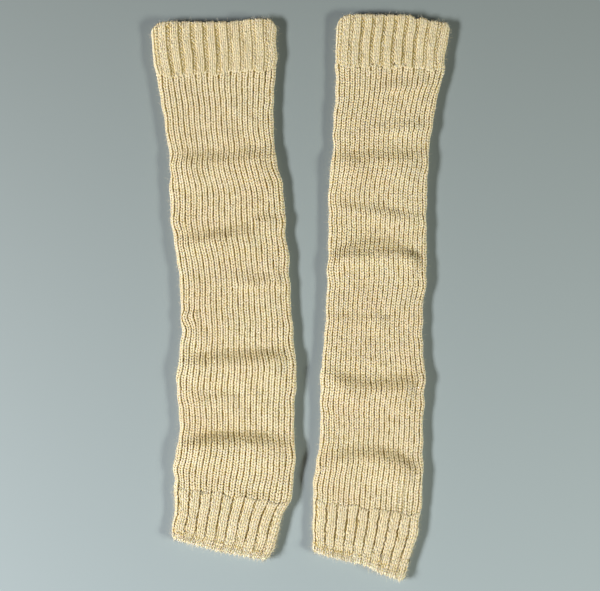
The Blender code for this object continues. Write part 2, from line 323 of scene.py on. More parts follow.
class Warmer:
    """The laid form of one leg warmer: its sections, creases and ends, and how its ribs wander."""

    def __init__(self, side, sections, creases, hidden_creases, lower_end, upper_end, seed):
        self.side = side
        self.creases = creases
        self.hidden_creases = hidden_creases
        self.values = np.array([section[1:] for section in sections], float)
        middles = (self.values[:, 0:2] + self.values[:, 2:4]) / 2
        steps = np.linalg.norm(np.diff(middles, axis=0), axis=1)
        self.at = np.concatenate([[0.0], np.cumsum(steps)])
        self.slopes = np.gradient(self.values, self.at, axis=0)
        self.length = self.at[-1]
        names = [section.name for section in sections]
        self.lines = {name: self.at[names.index(name)] for name in names if name}
        self.low = self.lines["lower_cuff_line"]
        self.high = self.lines["upper_cuff_line"]
        self.lower_end = np.array(lower_end)
        self.upper_end = np.array(upper_end)
        random = np.random.default_rng(seed)
        # size, length along, start and lean across of each sideways wave of the ribs
        self.waves = random.uniform((0.12, 30, 0, -1), (0.42, 100, 2 * pi, 1), (4, 4))
        # size, length along, start and change from rib to rib of each rib's own small waves
        self.rib_waves = random.uniform((0.04, 9, 0, 20), (0.11, 30, 2 * pi, 60), (4, 4))
        # size, width, length and start of each low lump
        self.lumps = random.uniform((0.1, 16, 16, 0), (0.24, 50, 50, 2 * pi), (6, 4))
        # size, length along and start of each small wave of the left and the right side
        self.side_waves = random.uniform((0.15, 12, 0), (0.34, 38, 2 * pi), (2, 4, 3))

    def row(self, along):
        """Left and right side, crown and width of the rows at these distances along."""
        number = np.clip(np.searchsorted(self.at, along, side="right") - 1, 0, len(self.at) - 2)
        span = self.at[number + 1] - self.at[number]
        t = ((along - self.at[number]) / span)[:, None]
        span = span[:, None]
        blend = t * t * (3 - 2 * t)
        pulls = (t**3 - 2 * t**2 + t) * span * self.slopes[number]
        pulls = pulls + (t**3 - t**2) * span * self.slopes[number + 1]
        value = self.values[number] * (1 - blend) + self.values[number + 1] * blend + pulls
        left, right = value[:, 0:2], value[:, 2:4]
        return left, right, value[:, 4], np.linalg.norm(right - left, axis=1)

    def side_bump(self, along, side):
        """How far the nearer side edge bulges, in millimetres."""
        bump = np.zeros_like(along)
        for sign, waves in zip((-1, 1), self.side_waves):
            for size, length, start in waves:
                bump += (sign * side > 0) * size * np.sin(2 * pi * along / length + start)
        return bump

    def from_line(self, along):
        """Distance to the nearer cuff line."""
        return np.minimum(np.abs(along - self.low), np.abs(along - self.high))

    def uneven_line(self, along, turn):
        """How far the rows by a cuff line are out of true, at shares of the way round the tube."""
        waves = np.sin(2 * pi * 10.5 * turn + 0.8) + 0.8 * np.sin(2 * pi * 6.2 * turn + 2.0)
        return waves * smooth_step(1 - self.from_line(along) / UNEVEN_REACH)

    def end_push(self, share, along):
        """How far the cloth is pushed along the tube, fading out towards the cuff lines."""
        lower = np.interp(share, self.lower_end[:, 0], self.lower_end[:, 1])
        upper = np.interp(share, self.upper_end[:, 0], self.upper_end[:, 1])
        push = upper * smooth_step((along - self.high) / (self.length - self.high))
        return push - lower * smooth_step(1 - along / self.low)

    def wander(self, along, share, rib):
        """Sideways drift of the ribs, in millimetres."""
        drift = np.zeros_like(along)
        for size, length, start, lean in self.waves:
            drift += size * np.sin(2 * pi * along / length + start + lean * 2 * pi * share)
        for size, length, start, change in self.rib_waves:
            own = change * np.sin(5.1 * np.floor(rib))
            drift += size * np.sin(2 * pi * along / length + start + own)
        from_end = np.minimum(along, self.length - along)
        return drift * smooth_step(from_end / END_FADE)

    def lip(self, along):
        """The open upper end stands a little higher than the rest."""
        return UPPER_LIP * smooth_step((along - self.high) / (self.length - self.high))

    def lump(self, x, y):
        """Low swellings and hollows of the upper panel."""
        rise = np.zeros_like(x)
        for size, wide, long, start in self.lumps:
            rise += size * np.sin(2 * pi * x / wide + start) * np.sin(2 * pi * y / long + 2 * start)
        return rise


def over_rim(along, out, piece, warmer):
    """Turns what runs past an open end round the rim of the wall, to its inside."""
    if not piece.rim:
        return along, out
    radius = piece.knit.wall / 2
    sign, edge = (1, warmer.length) if piece.rim == "end" else (-1, 0.0)
    past = sign * (along - edge) + radius
    turn = np.clip(past / radius, 0, pi)
    inside = np.maximum(past - pi * radius, 0)
    reach = (radius + out) * np.sin(turn) - inside
    rim_along = edge + sign * (reach - radius)
    rim_out = (radius + out) * np.cos(turn) - radius
    return np.where(past > 0, rim_along, along), np.where(past > 0, rim_out, out)


# How far up the cast-on edge fills the grooves at the left side, how much further it does in the
# rest of the cuff, and how far down the cast-off edge fills them
CAST_ON_FILL = 8.0
CAST_ON_FILL_MORE = 6.0
CAST_OFF_FILL = 4.5
# How far from a cuff line the grooves are filled in the bottom cuff, the top cuff and the leg, and
# how much that varies from groove to groove
BOTTOM_LINE_FILL = 3.0
BOTTOM_LINE_VARIES = 2.5
TOP_LINE_FILL = 6.0
TOP_LINE_VARIES = 3.0
LEG_LINE_FILL = 6.0
LEG_LINE_VARIES = 3.0
# How full a leg groove is at the line where it runs on inside a wide rib, and into a wide groove
INSIDE_RIB_FILL = 1.1
INTO_GROOVE_FILL = 1.4
# The felted patch: where its middle is across the right leg, half its width, how far up from the
# cuff line it reaches and how full it is
FELT_SHARE = 0.8
FELT_HALF_SHARE = 0.05
FELT_LENGTH = 34.0
FELT_FILL = 2.6
# How much the filling varies along a groove, and from one blotch of the leg to the next
CUFF_UNEVEN_FILL = 0.25
LEG_UNEVEN_FILL = 0.4
BLOTCH_FILL = 0.35


def bottom_cuff_fill(warmer, along, share, number):
    """The cast-on edge and the cuff line fill the grooves, all but the first ones on the left."""
    further = CAST_ON_FILL_MORE * smooth_step(share / 0.35)
    reach = CAST_ON_FILL + further + 1.2 * np.sin(2.4 * number)
    edge = smooth_step((reach - along) / 3.0)
    start = BOTTOM_LINE_FILL + BOTTOM_LINE_VARIES * np.sin(1.9 * number + 0.7)
    line = smooth_step(1 - (warmer.low - along) / start)
    first = -0.2 * smooth_step((0.14 - share) / 0.05)
    return edge + 0.6 * line + first + 0.15


def top_cuff_fill(warmer, along, share, number):
    """The cast-off edge and the cuff line fill the grooves, and so does cloth stretched flat."""
    edge = 0.8 * smooth_step(1 - (warmer.length - along) / CAST_OFF_FILL)
    start = TOP_LINE_FILL + TOP_LINE_VARIES * np.sin(2.3 * number)
    line = 0.9 * smooth_step(1 - (along - warmer.high) / start)
    if warmer.side == "left":
        flat = 0.75 * smooth_step((share - 0.5) / 0.25) + 0.6 * smooth_step((0.14 - share) / 0.08)
    else:
        flat = 0.65 * smooth_step((0.22 - share) / 0.1) + 0.6 * smooth_step((share - 0.72) / 0.14)
    return edge + line + flat


def felted_patch(warmer, along, share):
    """The patch low on the right leg warmer where the ribs have run together."""
    if warmer.side == "left":
        return np.zeros_like(along)
    across = smooth_step(1.6 - np.abs(share - FELT_SHARE) / FELT_HALF_SHARE)
    return FELT_FILL * across * smooth_step((warmer.low + FELT_LENGTH - along) / 9)


def leg_fill(warmer, along, share, number, own):
    """Blotches of flatter cloth, and grooves that start full at a cuff line."""
    blotch = 0.5 + 0.5 * np.sin(along / 31.0 + 5.1 * share) * np.sin(along / 19.0 - 7.0 * share)
    inside = np.minimum(along - warmer.low, warmer.high - along)
    line = smooth_step(1 - inside / (LEG_LINE_FILL + LEG_LINE_VARIES * np.sin(own)))
    line = line * np.where(np.mod(number, 2) == 1, INSIDE_RIB_FILL, INTO_GROOVE_FILL)
    return BLOTCH_FILL * blotch + felted_patch(warmer, along, share) + line


def groove_fill(piece, warmer, along, share, rib):
    """How far the grooves are filled: 1 is full, and ribs that run together go beyond that."""
    number = np.round(rib)
    own = 40.0 * np.sin(7.3 * number)
    uneven = 0.5 + 0.2 * np.sin(along / 2.3 + own) + 0.3 * np.sin(along / 6.7 + 1.7 * own)
    if piece.name == "leg":
        fill = leg_fill(warmer, along, share, number, own)
        return np.clip(fill + LEG_UNEVEN_FILL * uneven, 0, 3)
    cuff_fill = bottom_cuff_fill if piece.name == "bottom_cuff" else top_cuff_fill
    fill = cuff_fill(warmer, along, share, number)
    return np.clip(fill + CUFF_UNEVEN_FILL * uneven, 0, 1)


def around(run, flat, radius):
    """Place across and up, and the way out, at distances round the tube from its left fold."""
    fold = pi * radius
    turn_right = np.clip((run - flat) / radius, 0, pi)
    turn_left = np.clip((run - 2 * flat - fold) / radius, 0, pi)
    on_right = (run > flat) & (run <= flat + fold)
    on_top = (run > flat + fold) & (run <= 2 * flat + fold)
    on_left = run > 2 * flat + fold
    places = [on_right, on_top, on_left]
    out_side = np.select(places, [np.sin(turn_right), 0.0 * run, -np.sin(turn_left)], 0.0)
    out_up = np.select(places, [-np.cos(turn_right), 1.0 + 0.0 * run, np.cos(turn_left)], -1.0)
    side = np.select(
        places,
        [flat / 2 + radius * out_side, flat / 2 - (run - flat - fold), radius * out_side - flat / 2],
        run - flat / 2,
    )
    return side, radius + radius * out_up, out_side, out_up


# Where points of the knitting lie, in metres, how far up the cloth faces there, how much painted
# groove shade a filled groove takes off the yarn less how much painted shade a low rib adds, both
# in millimetres of height, and how much painted shade it takes on a crease's steep side
Laid = namedtuple("Laid", "points facing paler pinch")


def laid(warmer, piece, along, rib, out):
    """Places points of the knitting on the laid form. A point is given by how far along the tube it
    is, how many ribs round from the underside's left fold, and how far out from the solid's grooves,
    all but the ribs in millimetres."""
    knit = piece.knit
    along, out = over_rim(along, out, piece, warmer)
    along = along + warmer.uneven_line(along, rib / knit.ribs)
    if piece.rim == "start":
        along = along - SCALLOP * np.cos(4 * pi * rib) * smooth_step(1 - along / SCALLOP_REACH)
    left, right, crown, full = warmer.row(along)
    height = 2 * knit.wall + SLIT
    flat, radius = full - 2 * knit.rib_height - height, height / 2
    girth = 2 * (flat + pi * radius)
    run = np.mod(rib / knit.ribs, 1.0) * girth
    side, up, out_side, out_up = around(run, flat, radius)
    share = np.clip(0.5 + side / full, 0, 1)
    rough = left + (right - left) * share[:, None]
    shown = smooth_step((run - flat) / SIDE_FADE) * smooth_step((girth - run) / SIDE_FADE)
    kink = crease_rise(warmer.creases, rough[:, 0], rough[:, 1])[1]
    run = run - shown * (kink + warmer.wander(along, share, rib))
    side, up, out_side, out_up = around(run, flat, radius)
    grown = smooth_step((out_up + 1) / (FULL_RIB_UP + 1))
    groove = smooth_step(1 - np.abs(rib - np.round(rib)) / knit.groove_reach)
    filled = groove * knit.groove_lift * groove_fill(piece, warmer, along, share, rib)
    off_middle = np.abs(2 * np.mod(rib, 1.0) - 1)
    lower = knit.rounding * off_middle**3 * (1 - groove)
    lower = lower + knit.line_dip * smooth_step(1 - warmer.from_line(along) / LINE_DIP_REACH)
    out = out + (filled - lower) * (out > -knit.wall / 2)
    out = np.where(out > 0, out * grown, out)
    near_side = smooth_step(1 - (flat / 2 - np.abs(side)) / SIDE_BUMP_REACH)
    side = side + np.sign(side) * near_side * warmer.side_bump(along, side)
    side = side + out_side * out
    up = up + out_up * out
    across = (right - left) / full[:, None]
    share = np.clip(0.5 + side / full, 0, 1)
    ahead = np.stack([-across[:, 1], across[:, 0]], axis=1)
    place = (left + right) / 2 + across * side[:, None]
    place = place + ahead * warmer.end_push(share, along)[:, None]
    rise, _, pinch = crease_rise(warmer.creases, place[:, 0], place[:, 1])
    inboard = flat / 2 - np.abs(side)
    base = crown + warmer.lip(along) + warmer.lump(place[:, 0], place[:, 1])
    there = SIDE_LIFT * smooth_step(out_up) + (1 - SIDE_LIFT) * smooth_step(inboard / CREASE_FADE)
    lift = base * smooth_step(inboard / EDGE_FADE) + rise * there
    hidden = crease_rise(warmer.hidden_creases, place[:, 0], place[:, 1])[0]
    hidden = hidden * smooth_step(inboard / EDGE_FADE)
    up = up + np.where(out_up > 0, np.maximum(lift, -LOWEST_DIP), hidden)
    points = np.column_stack([place, np.maximum(up, 0.0)]) * MM
    # Painted crease shade, kept to the upper panel and the part of the side folds that a crease lifts
    pinch = pinch * smooth_step(out_up) * there
    return Laid(points, out_up, knit.paler_share * filled - lower, pinch)


def points_of(mesh):
    """The mesh's points, one in each row."""
    points = np.empty(len(mesh.vertices) * 3, np.float32)
    mesh.vertices.foreach_get("co", points)
    return points.reshape(-1, 3).astype(float)


def set_points(mesh, points):
    mesh.vertices.foreach_set("co", points.astype(np.float32).ravel())
    mesh.update()


def add_number(mesh, name, values):
    """Gives each point a value that the yarn's colour reads."""
    made = mesh.attributes.new(name, "FLOAT", "POINT")
    made.data.foreach_set("value", np.asarray(values, np.float32))


def add_piece(name, mesh, material):
    """Shows the mesh as a piece that stays with the leg warmers, with its material."""
    mesh.shade_smooth()
    mesh.materials.clear()
    mesh.materials.append(material)
    made = bpy.data.objects.new(name, mesh)
    bpy.context.scene.collection.objects.link(made)
    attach(made, "root")
    return made


def repeated(start, counts):
    """The mesh of a swatch: the start repeated along X and Y, one unit apart, by array modifiers."""
    holder = bpy.data.objects.new("swatch", start)
    bpy.context.scene.collection.objects.link(holder)
    for axis, count in enumerate(counts):
        array = holder.modifiers.new("repeat", "ARRAY")
        array.use_relative_offset = False
        array.use_constant_offset = True
        array.constant_offset_displace = [float(axis == 0), float(axis == 1), 0.0]
        array.count = count
    graph = bpy.context.evaluated_depsgraph_get()
    made = bpy.data.meshes.new_from_object(holder.evaluated_get(graph))
    bpy.data.objects.remove(holder, do_unlink=True)
    bpy.data.meshes.remove(start)
    return made


# One strand of yarn where it shows: its middle across the rib, along the row and up, its half
# sizes the same way, how it leans, and how far its ends bend down.
Strand = namedtuple("Strand", "across row up half_across half_row half_up lean sink")
STRAND_SIDES = 6
STRAND_RINGS = 3
STRAND_POINTS = STRAND_SIDES * (STRAND_RINGS - 1) + 2


def stitch_mesh(strands):
    """One repeat of the knitting, each strand a long rounded lobe."""
    mesh = bmesh.new()
    for strand in strands:
        lobe = bmesh.ops.create_uvsphere(
            mesh, u_segments=STRAND_SIDES, v_segments=STRAND_RINGS, radius=1.0, calc_uvs=True
        )
        verts = lobe["verts"]
        bmesh.ops.rotate(mesh, verts=verts, matrix=Matrix.Rotation(pi / 2, 3, "X"))
        for vert in verts:
            x, y, z = vert.co
            vert.co.x = strand.across + strand.half_across * x + strand.lean * y
            vert.co.y = strand.row + strand.half_row * y
            vert.co.z = strand.up + strand.half_up * z - strand.sink * y * y
    made = bpy.data.meshes.new("stitch")
    mesh.to_mesh(made)
    mesh.free()
    return made


def knit_wale(across, width, up, long, sink):
    """The two strands of a knit stitch, a steep V with a small hole between its arms."""
    off, lean = 0.25 * width, 0.13 * width
    return [
        Strand(across + sign * off, 0.5, up, 0.27 * width, long, 0.5, sign * lean, sink)
        for sign in (-1, 1)
    ]


def purl_bump(across, width, up, row):
    """The bump of a purl stitch, a short strand that lies across."""
    return [Strand(across, row, up, 0.62 * width, 0.4, 0.38, 0.0, 0.0)]


# Where the first of a wide rib's two knit columns lies across it, in the bottom and the top cuff.
# The second lies as far in from the other side.
LOW_WALE = 0.285
HIGH_WALE = 0.34

LEG_STITCH = knit_wale(across=0.5, width=0.86, up=0.48, long=0.69, sink=0.32)
TOP_CUFF_STITCH = (
    knit_wale(across=HIGH_WALE, width=0.31, up=0.75, long=0.8, sink=0.35)
    + knit_wale(across=1 - HIGH_WALE, width=0.31, up=0.75, long=0.8, sink=0.35)
    + purl_bump(across=-0.095, width=0.14, up=-0.1, row=0.3)
    + purl_bump(across=0.045, width=0.14, up=-0.15, row=0.8)
)
BOTTOM_CUFF_STITCH = (
    knit_wale(across=LOW_WALE, width=0.42, up=0.75, long=0.8, sink=0.35)
    + knit_wale(across=1 - LOW_WALE, width=0.42, up=0.75, long=0.8, sink=0.35)
    + purl_bump(across=0.0, width=0.1, up=-0.5, row=0.3)
)

# One stretch of a leg warmer, with its rib pattern, the lines that it runs between and which of
# them is an open end. Its yarn is the strands of one stitch, of which the first few are knit and
# the rest purl, with how loose and how dark it is. The ribs that have stitches go from just under
# the right fold over the top to just under the left one.
Piece = namedtuple(
    "Piece", "name slot knit start end rim stitch knit_strands loose tone first_rib shown_ribs fibres"
)
PIECES = (
    Piece(
        name="bottom_cuff",
        slot="wide_rib_knit",
        knit=BOTTOM_RIB,
        start="lower_end",
        end="lower_cuff_line",
        rim="start",
        stitch=BOTTOM_CUFF_STITCH,
        knit_strands=4,
        loose=0.6,
        tone=0.82,
        first_rib=9,
        shown_ribs=13,
        fibres=2800,
    ),
    Piece(
        name="leg",
        slot="fine_rib_knit",
        knit=FINE_RIB,
        start="lower_cuff_line",
        end="upper_cuff_line",
        rim="",
        stitch=LEG_STITCH,
        knit_strands=2,
        loose=1.0,
        tone=0.5,
        first_rib=18,
        shown_ribs=25,
        fibres=2600,
    ),
    Piece(
        name="top_cuff",
        slot="wide_rib_knit",
        knit=TOP_RIB,
        start="upper_cuff_line",
        end="upper_end",
        rim="end",
        stitch=TOP_CUFF_STITCH,
        knit_strands=4,
        loose=0.6,
        tone=0.9,
        first_rib=9,
        shown_ribs=13,
        fibres=700,
    ),
)

# How far from a cuff line two leg ribs draw together, and how much of the way to the knit columns of
# the wide rib they go at the lower and at the upper line
JOIN_LENGTH = 6.0
LOW_JOIN_SHARE = 0.7
HIGH_JOIN_SHARE = 0.3


def gather_to_cuff(warmer, rib, along):
    """Leads each pair of leg ribs together where they run into one wide rib of a cuff."""
    first = np.mod(np.floor(rib), 2) == 0
    ends = (
        (along - warmer.low, LOW_WALE, LOW_JOIN_SHARE),
        (warmer.high - along, HIGH_WALE, HIGH_JOIN_SHARE),
    )
    pull = np.zeros_like(rib)
    for inside, wale, join_share in ends:
        target = 2 * np.where(first, wale, 1 - wale) - np.where(first, 0.5, 1.5)
        pull = pull + join_share * smooth_step(1 - inside / JOIN_LENGTH) * target
    return rib + pull


ROW_HEIGHT = 2.3

# How much looser a purl bump is than a knit strand, and how uneven a strand's size and its place
# across the rib, along the row and up are
PURL_LOOSER = 1.5
UNEVEN_SIZE = 0.08
UNEVEN_ACROSS = 0.012
UNEVEN_ALONG = 0.07
UNEVEN_UP = 0.06


def loosened(points, piece, knit_strand, random):
    """The strands with their sizes and places a little uneven."""
    strands = len(points)
    middle = points.mean(axis=1, keepdims=True)
    loose = np.where(knit_strand, 1.0, PURL_LOOSER)[:, None, None]
    grow = 1 + loose * random.normal(0, UNEVEN_SIZE, (strands, 1, 3)).clip(-0.2, 0.2)
    reach = (UNEVEN_ACROSS, UNEVEN_ALONG, UNEVEN_UP * piece.loose)
    shift = loose * random.normal(0, 1, (strands, 1, 3)).clip(-2, 2) * reach
    return middle + (points - middle) * grow + shift


# What a strand's tone varies by, how much the tone gains from the lower end to the upper one as
# painted shade, and loses at the cast-on edge. The left side fold is painted browner as painted
# shade, and the right one paler as painted highlight.
TONE_SPREAD = 0.2
TOP_PAINTED_SHADE = 0.4
CAST_ON_PALER = 1.4
LEFT_SIDE_PAINTED_SHADE = 0.7
RIGHT_SIDE_PAINTED_HIGHLIGHT = -1.3


def yarn_tone(warmer, piece, along, rib, facing, random):
    """The tone of each point of the stitches: 1 is the middle colour, 0 light and -1 pale."""
    strands = len(along) // STRAND_POINTS
    tone = np.repeat(random.normal(0, 1, strands).clip(-2, 2), STRAND_POINTS)
    # Painted shade, darker towards the upper end
    gain = TOP_PAINTED_SHADE * (along / warmer.length - 0.5)
    tone = piece.tone + TONE_SPREAD * piece.loose * tone + gain
    if piece.rim == "start":
        tone = tone - CAST_ON_PALER * smooth_step((5.5 - along) / 3.5)
    on_left = rib > 0.75 * piece.knit.ribs
    side_painted_light = np.where(on_left, LEFT_SIDE_PAINTED_SHADE, RIGHT_SIDE_PAINTED_HIGHLIGHT)
    # Painted shade on the left side fold and painted highlight on the right one
    return tone + side_painted_light * smooth_step(1.1 - facing)


# How much painted shade the specks just above the cast-on edge take, and how much less painted
# groove shade the purl bumps take, in millimetres of height
EDGE_SHADE_SPECKLE = 2.0
PURL_PALER = 0.4


def yarn_height(piece, along, out, paler, knit_strand, random):
    """The height that the painted groove shade reads at each point of the stitches, painted darker
    where it is low, with painted shade specks just above the cast-on edge.
    """
    above_edge = np.sin(pi * np.clip((along - 4.0) / 5.0, 0, 1)) * (piece.rim == "start")
    shade_speckle = np.repeat(random.uniform(0, 1, len(knit_strand)) ** 2, STRAND_POINTS)
    purl = np.repeat(~knit_strand, STRAND_POINTS)
    return out + paler - EDGE_SHADE_SPECKLE * above_edge * shade_speckle + PURL_PALER * purl


def knit_stitches(warmer, piece, material):
    """The yarn of one piece, knitted as a flat swatch and laid over the form."""
    start, end = warmer.lines[piece.start], warmer.lines[piece.end]
    wrap = pi * piece.knit.wall / 2
    rows = round((end - start) / ROW_HEIGHT)
    pitch = (end - start) / rows
    extra = int(wrap / pitch) + 1 if piece.rim else 1
    mesh = repeated(stitch_mesh(piece.stitch), (piece.shown_ribs, rows + extra))
    points = points_of(mesh).reshape(-1, STRAND_POINTS, 3)
    knit_strand = np.arange(len(points)) % len(piece.stitch) < piece.knit_strands
    random = np.random.default_rng(len(warmer.side) * 100 + rows)
    points = loosened(points, piece, knit_strand, random).reshape(-1, 3)
    rib, row, out = points[:, 0] + piece.first_rib, points[:, 1], points[:, 2]
    if piece.rim == "start":
        along = end - (rows + extra - row) * pitch
    elif piece.rim == "end":
        along = start + row * pitch
    else:
        along = start + (row - 0.5) * pitch
    if piece.name == "leg":
        rib = gather_to_cuff(warmer, rib, along)
    lie = laid(warmer, piece, along, rib, out)
    set_points(mesh, lie.points)
    # Painted light and shade: the tone lights and shades the side folds, the height shades grooves
    # and low ribs, and the crease attribute shades the steep sides of creases
    add_number(mesh, "tone", yarn_tone(warmer, piece, along, rib, lie.facing, random))
    add_number(mesh, "height", yarn_height(piece, along, out, lie.paler, knit_strand, random))
    add_number(mesh, "pinch", lie.pinch)
    return add_piece(f"{warmer.side}_{piece.name}_stitches", mesh, material)


FIBRE_SIDES = 3
FIBRE_RINGS = 3
FIBRE_POINTS = FIBRE_SIDES * (FIBRE_RINGS - 1) + 2
FIBRE_RADIUS = 0.075
SHORTEST_FIBRE = 1.0
LONGEST_FIBRE = 3.2
# Shares of the fibres that stand along the sides, and of the rest that stand at an open end
SIDE_FIBRES = 0.5
END_FIBRES = 0.8
# How far out of the knitting a fibre grows, and how it is coloured
FIBRE_ROOT = 0.9
FIBRE_TONE = -0.6
FIBRE_HEIGHT = 1.5


def unit(ways):
    return ways / np.linalg.norm(ways, axis=1, keepdims=True).clip(1e-9)


def loose_fibres(warmer, piece, material):
    """Short bent hairs that stand off the wool, most of them along the sides and the open ends."""
    start, end = warmer.lines[piece.start], warmer.lines[piece.end]
    fibres = piece.fibres
    ball = bmesh.new()
    bmesh.ops.create_uvsphere(
        ball, u_segments=FIBRE_SIDES, v_segments=FIBRE_RINGS, radius=1.0, calc_uvs=True
    )
    hair = bpy.data.meshes.new("hair")
    ball.to_mesh(hair)
    ball.free()
    mesh = repeated(hair, (fibres, 1))
    points = points_of(mesh).reshape(-1, FIBRE_POINTS, 3)
    points[:, :, 0] -= np.arange(fibres)[:, None]
    random = np.random.default_rng(len(warmer.side) * 10 + fibres)
    across = random.uniform(0, 1, fibres)
    to_side = random.uniform(0, 1, fibres) < SIDE_FIBRES
    across = np.where(to_side, np.where(across < 0.5, 0.1 * across, 1 - 0.1 * across), across)
    rib = piece.first_rib + 0.4 + (piece.shown_ribs - 0.8) * across
    to_end = (random.uniform(0, 1, fibres) < END_FIBRES) & bool(piece.rim) & ~to_side
    near = random.uniform(-1.5, 4.0, fibres)
    along = random.uniform(start + 1, end - 1, fibres)
    along = np.where(to_end, start + near if piece.rim == "start" else end - near, along)
    high = np.full(fibres, FIBRE_ROOT)
    root = laid(warmer, piece, along, rib, high).points
    out = unit(laid(warmer, piece, along, rib, high + 1.0).points - root)
    ahead = unit(laid(warmer, piece, along + 1.0, rib, high).points - root)
    aside = unit(laid(warmer, piece, along, rib + 0.2, high).points - root)
    turn = random.uniform(0, 2 * pi, (fibres, 1))
    off = random.uniform(0.35, 1.0, (fibres, 1))
    length = random.uniform(SHORTEST_FIBRE, LONGEST_FIBRE, (fibres, 1, 1)) * MM
    way = out * off + (ahead * np.cos(turn) + aside * np.sin(turn)) * (1.2 - off)
    bend = random.normal(0, 0.35, (fibres, 1, 3))
    t = (points[:, :, 2:3] + 1) / 2
    spine = root[:, None] + length * (way[:, None] * t + bend * t * t)
    thick = points * (1.0, 1.0, 0.0) * FIBRE_RADIUS * MM
    place = (spine + thick).reshape(-1, 3)
    place[:, 2] = np.maximum(place[:, 2], 0.1 * MM)
    set_points(mesh, place)
    add_number(mesh, "tone", np.full(len(place), FIBRE_TONE))
    add_number(mesh, "height", np.full(len(place), FIBRE_HEIGHT))
    add_number(mesh, "pinch", np.zeros(len(place)))
    return add_piece(f"{warmer.side}_{piece.name}_fibres", mesh, material)


# Steps between the shell's rows over the ribs and inside the tube, and spans round an open rim
SHELL_ROW_STEP = 4.0
INNER_ROW_STEP = 14.0
RIM_SPANS = 6

# The shell's tone, its colour height where it has no ribs, free of painted groove shade, and how
# far down it faces where it lies flat
SHELL_TONE = 0.5
PLAIN_HEIGHT = 1.0
LIES_FLAT = -0.9
MERGE_DISTANCE = 0.000001


def shell_rows(warmer, piece):
    """Distance along and depth of each row of the shell: out over the ribs and back inside."""
    start, end = warmer.lines[piece.start], warmer.lines[piece.end]
    wall = piece.knit.wall
    bend = wall / 2
    outer_low = start + bend if piece.rim == "start" else start
    outer_high = end - bend if piece.rim == "end" else end
    spans = round((outer_high - outer_low) / SHELL_ROW_STEP)
    outer = [(along, 0.0) for along in np.linspace(outer_low, outer_high, spans + 1)]
    inner_spans = max(2, round((outer_high - outer_low) / INNER_ROW_STEP))
    inner = [(along, wall) for along in np.linspace(outer_high, outer_low, inner_spans + 1)]
    turns = [pi * bend * step / RIM_SPANS for step in range(1, RIM_SPANS)]
    if piece.rim == "end":
        return outer + [(outer_high + turn, 0.0) for turn in turns] + inner
    if piece.rim == "start":
        return outer + inner + [(outer_low - turn, 0.0) for turn in reversed(turns)]
    return outer + inner


def make_shell(warmer, piece, material):
    """The cloth under the stitches: a thin closed wall, rolled from a grid and joined both ways."""
    knit = piece.knit
    rows = shell_rows(warmer, piece)
    columns = [(rib + across, up) for rib in range(knit.ribs) for across, up in knit.outline]
    grid = bmesh.new()
    bmesh.ops.create_grid(grid, x_segments=len(columns), y_segments=len(rows), size=0.5)
    mesh = bpy.data.meshes.new(f"{warmer.side}_{piece.name}_cloth")
    grid.to_mesh(mesh)
    grid.free()
    flat = points_of(mesh)
    column = np.rint((flat[:, 0] + 0.5) * len(columns)).astype(int) % len(columns)
    row = np.rint((flat[:, 1] + 0.5) * len(rows)).astype(int) % len(rows)
    columns, rows = np.array(columns), np.array(rows)
    rib, up = columns[column, 0], columns[column, 1]
    along, depth = rows[row, 0], rows[row, 1]
    if piece.name == "leg":
        rib = gather_to_cuff(warmer, rib, along)
    out = np.where(depth > 0, -depth, up)
    lie = laid(warmer, piece, along, rib, out)
    set_points(mesh, lie.points)
    # Painted groove shade on the ribbed outside, read from its height; the inside and the underside
    # stay plain
    plain = (depth > 0) | (lie.facing < LIES_FLAT)
    add_number(mesh, "height", np.where(plain, PLAIN_HEIGHT, up + lie.paler))
    add_number(mesh, "tone", np.full(len(flat), SHELL_TONE))
    add_number(mesh, "pinch", np.where(depth > 0, 0.0, lie.pinch))
    joined = bmesh.new()
    joined.from_mesh(mesh)
    bmesh.ops.remove_doubles(joined, verts=joined.verts, dist=MERGE_DISTANCE)
    bmesh.ops.recalc_face_normals(joined, faces=joined.faces)
    joined.to_mesh(mesh)
    joined.free()
    made = add_piece(f"{warmer.side}_{piece.name}_cloth", mesh, material)
    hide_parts(f"{warmer.side}_{piece.name}")
    return made


def node(tree, kind, place, **settings):
    made = tree.nodes.new(kind)
    made.location = place
    for name, value in settings.items():
        setattr(made, name, value)
    return made


YARN_LIGHT = (0.85, 0.76, 0.55, 1.0)
YARN_MIDDLE = (0.72, 0.625, 0.42, 1.0)
YARN_WARM = (0.83, 0.7, 0.5, 1.0)
# Painted shade for yarn that lies deep in the grooves and on low ribs
YARN_GROOVE_SHADE = (0.49, 0.38, 0.14, 1.0)
# Pale yarn for the cast-on edge and the loose fibres, also the painted highlight on the right side
# fold
YARN_PALE = (0.86, 0.795, 0.58, 1.0)
# Painted shade for the steep sides of the creases
YARN_CREASE_SHADE = (0.52, 0.41, 0.16, 1.0)
# How much of the painted crease shade colour the deepest crease takes on
CREASE_SHADE_SHARE = 0.34


